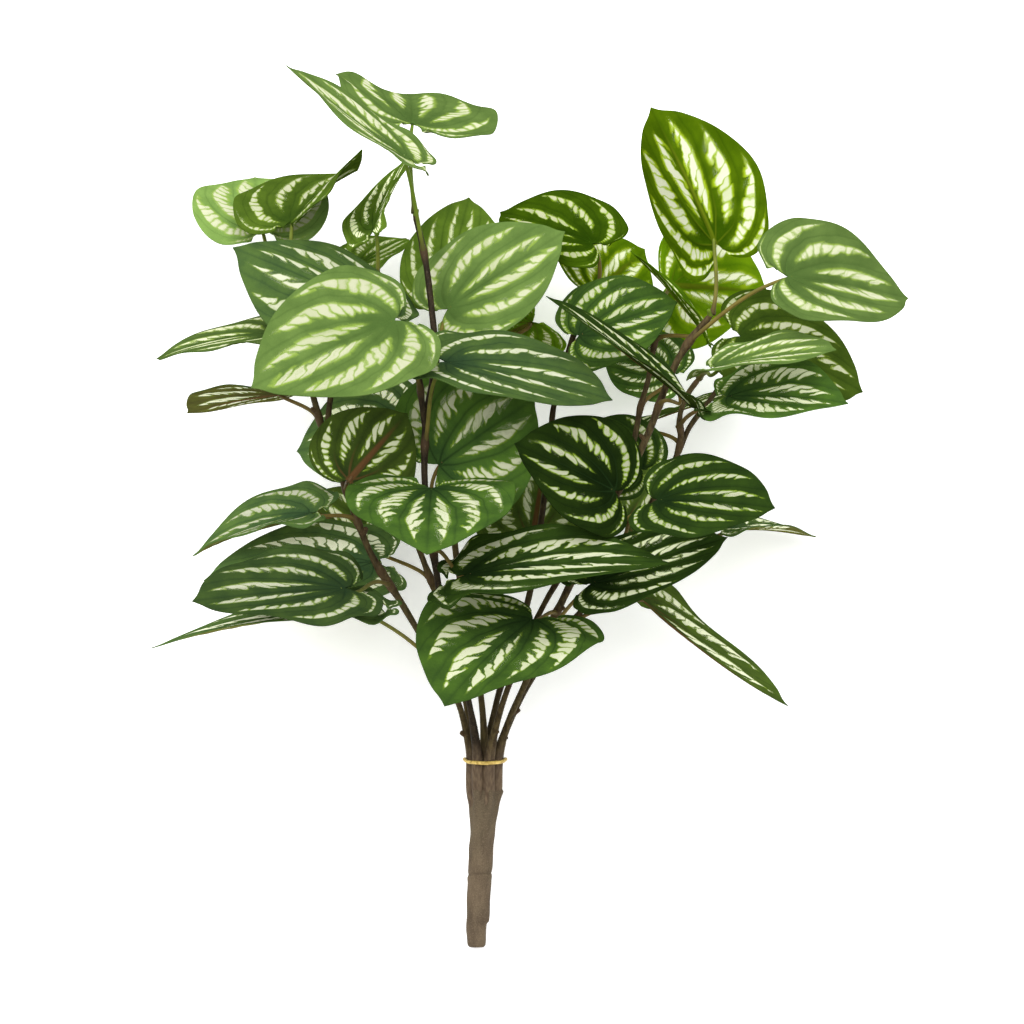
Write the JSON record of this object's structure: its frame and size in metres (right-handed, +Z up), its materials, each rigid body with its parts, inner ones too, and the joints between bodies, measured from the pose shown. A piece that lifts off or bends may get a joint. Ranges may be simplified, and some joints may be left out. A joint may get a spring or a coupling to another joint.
{
  "type": "artificial peperomia bush",
  "caption": "Bunch of banded heart-shaped leaves on forked brown stems that gather at a gold tie in a tapered moulded stub, lying on its back.",
  "frame": {"origin": "middle of the bounding box on the surface that the bush lies on", "axes": "+Z up from that surface; +Y from the stub's cut end towards the crown; +X across the bush, to the right as seen from above with the crown at the top"},
  "size_m": [0.3394, 0.3928, 0.1667],
  "materials": {
    "stub": "matte",
    "stem": "matte",
    "tie": "satin",
    "leaf": "satin",
    "leaf_pale": "satin"
  },
  "bodies": {
    "root": {"stub": "stub", "tie": "tie", "stem_left": "stem", "stem_middle": "stem", "stem_heart": "stem", "stem_back": "stem", "stem_right": "stem", "stem_inner": "stem", "stem_outer": "stem", "stem_shade": "stem", "leaf_top_right": "leaf", "leaf_top_left": "leaf", "leaf_upper_folded": "leaf", "leaf_small_back": "leaf", "leaf_behind_stem": "leaf", "leaf_upper_centre": "leaf", "leaf_upper_left": "leaf", "leaf_left_behind": "leaf", "leaf_left_side_upper": "leaf", "leaf_left_side_lower": "leaf", "leaf_far_left": "leaf_pale", "leaf_left_crown": "leaf_pale", "leaf_left_mid_back": "leaf", "leaf_left_mid_under": "leaf_pale", "leaf_left_long": "leaf", "leaf_left_low_back": "leaf", "leaf_left_low": "leaf", "leaf_left_lowest": "leaf", "leaf_centre_dark": "leaf", "leaf_front_heart": "leaf", "leaf_centre_long": "leaf", "leaf_pale_back": "leaf_pale", "leaf_crown_right": "leaf", "leaf_yellow_back": "leaf_pale", "leaf_right_centre": "leaf", "leaf_edge_upper": "leaf", "leaf_edge_long": "leaf", "leaf_yellow_right": "leaf_pale", "leaf_top_heart": "leaf_pale", "leaf_right_crown": "leaf", "leaf_right_behind": "leaf_pale", "leaf_right_light": "leaf", "leaf_right_dark": "leaf", "leaf_right_inner": "leaf", "leaf_right_under": "leaf", "leaf_centre_right": "leaf", "leaf_right_shade": "leaf", "leaf_back_fan": "leaf_pale", "leaf_right_mid": "leaf", "leaf_right_low_back": "leaf", "leaf_low_long": "leaf", "leaf_low_right": "leaf", "leaf_low_hanging": "leaf", "leaf_lowest_front": "leaf", "leaf_back_left_low": "leaf_pale", "leaf_back_left_upper": "leaf_pale", "leaf_back_centre": "leaf_pale", "leaf_back_right_low": "leaf_pale"}
  },
  "joints": []
}
